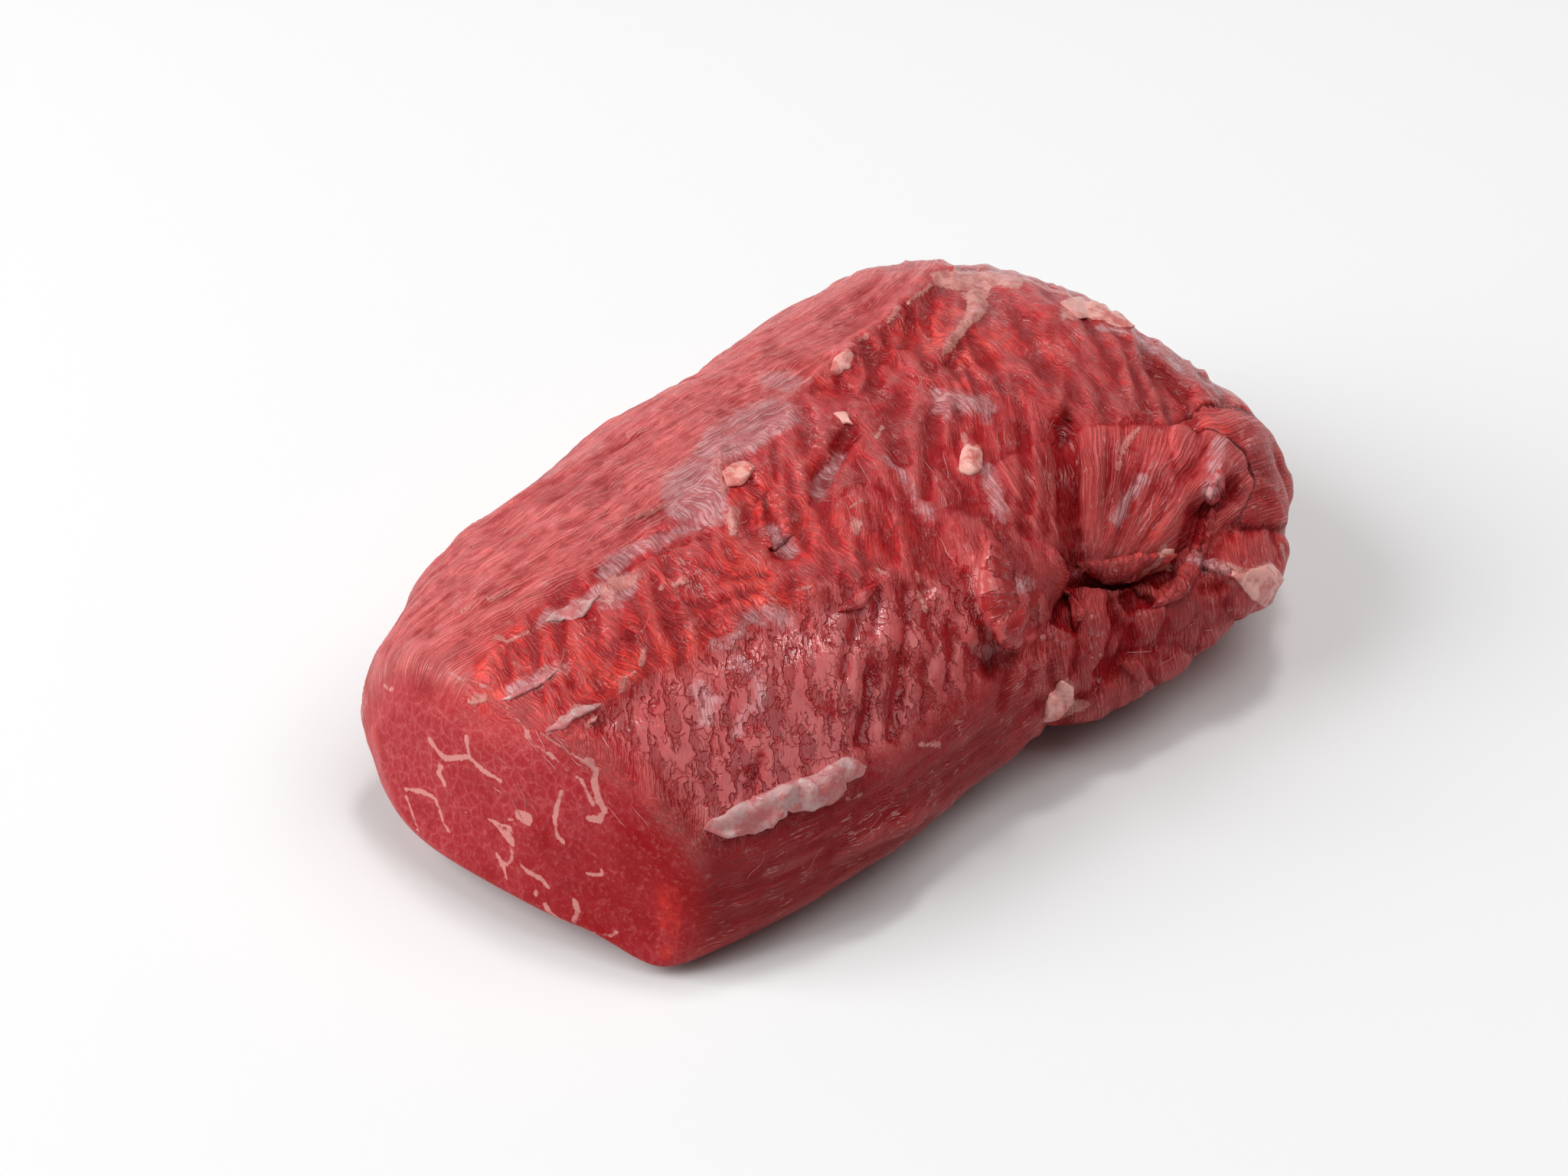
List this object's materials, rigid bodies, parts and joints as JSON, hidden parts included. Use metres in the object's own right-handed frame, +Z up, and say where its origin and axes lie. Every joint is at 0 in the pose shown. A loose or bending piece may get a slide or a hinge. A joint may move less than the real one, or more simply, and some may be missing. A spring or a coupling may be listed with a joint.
{
  "type": "raw beef chuck tender",
  "caption": "Thick trimmed piece of raw beef with a square-cut end and a blunt folded end, seams, fat strands and silverskin.",
  "frame": {"origin": "middle of the underside, under the middle of the outer box", "axes": "+X from the cut face to the blunt far end, +Y to the left-hand slope, +Z up from the table"},
  "size_m": [0.3018, 0.1918, 0.0793],
  "materials": {
    "lean": "wet raw muscle",
    "fat": "soft fat",
    "silverskin": "thin glossy film"
  },
  "bodies": {
    "root": {"chuck_tender": "lean"}
  },
  "joints": []
}
